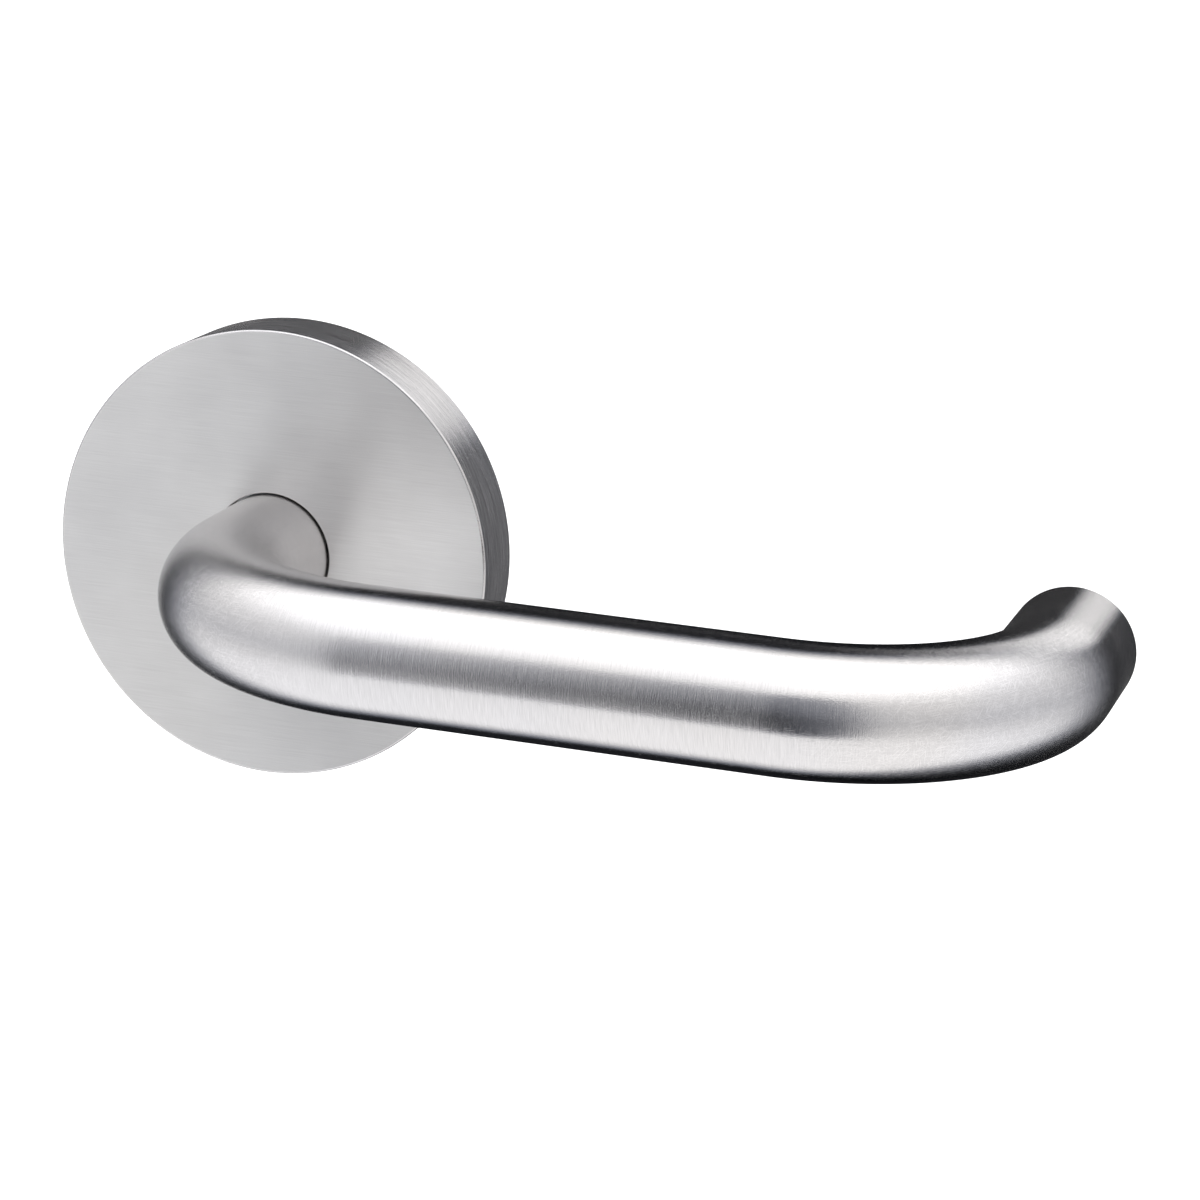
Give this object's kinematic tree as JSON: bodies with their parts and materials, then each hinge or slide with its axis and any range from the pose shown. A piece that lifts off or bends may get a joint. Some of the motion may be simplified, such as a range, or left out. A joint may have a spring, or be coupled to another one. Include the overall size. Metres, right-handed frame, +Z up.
{
  "type": "door lever handle",
  "caption": "Door lever handle bent from round tube with a return-to-door end, on a round clip-on rose, with sprung cam, stops, square spindle and fixings.",
  "frame": {"origin": "where the spindle axis meets the face of the door, at the centre of the back of the rose", "axes": "+Y into the door along the spindle axis, -Y out of the door, +X the way the lever points, +Z up"},
  "size_m": [0.1685, 0.1255, 0.07],
  "materials": {
    "mounting_plate": "dull zinc plated steel",
    "bearing_bush": "natural white acetal",
    "cover_snap_ring": "dark drawn spring steel",
    "return_spring": "dark drawn spring steel",
    "spring_post": "bright zinc plated steel",
    "stop_pin_rest": "bright zinc plated steel",
    "stop_pin_full": "bright zinc plated steel",
    "fixing_bolt_upper": "bright zinc plated steel",
    "fixing_bolt_lower": "bright zinc plated steel",
    "sleeve_nut_upper": "bright zinc plated steel",
    "sleeve_nut_lower": "bright zinc plated steel",
    "wood_screw_left": "yellow passivated steel",
    "wood_screw_right": "yellow passivated steel",
    "rose_cover": "satin brushed stainless steel",
    "lever_tube": "satin brushed stainless steel",
    "end_cap": "satin brushed stainless steel",
    "neck_hub": "satin brushed stainless steel",
    "spindle": "bright zinc plated steel",
    "grub_screw": "black oxide steel",
    "drive_cam": "bright zinc plated steel",
    "thrust_washer": "bright zinc plated steel",
    "retaining_ring": "dark drawn spring steel"
  },
  "bodies": {
    "rose": {"mounting_plate": "mounting_plate", "bearing_bush": "bearing_bush", "cover_snap_ring": "cover_snap_ring", "return_spring": "return_spring", "spring_post": "spring_post", "stop_pin_rest": "stop_pin_rest", "stop_pin_full": "stop_pin_full", "fixing_bolt_upper": "fixing_bolt_upper", "fixing_bolt_lower": "fixing_bolt_lower", "sleeve_nut_upper": "sleeve_nut_upper", "sleeve_nut_lower": "sleeve_nut_lower", "wood_screw_left": "wood_screw_left", "wood_screw_right": "wood_screw_right"},
    "cover": {"rose_cover": "rose_cover"},
    "lever": {"lever_tube": "lever_tube", "end_cap": "end_cap", "neck_hub": "neck_hub", "spindle": "spindle", "grub_screw": "grub_screw", "drive_cam": "drive_cam", "thrust_washer": "thrust_washer", "retaining_ring": "retaining_ring"}
  },
  "joints": [
    {"name": "lever_turn", "type": "hinge", "parent": "rose", "child": "lever", "pos_m": [0, 0, 0], "axis": [0, 1, 0], "range_deg": [0, 45], "stiffness_Nm_per_rad": 0.55, "springref_deg": -45.84, "deforming": ["return_spring"]},
    {"name": "cover_slide", "type": "slide", "parent": "rose", "child": "cover", "axis": [0, -1, 0], "range_m": [0, 0.0115]}
  ]
}
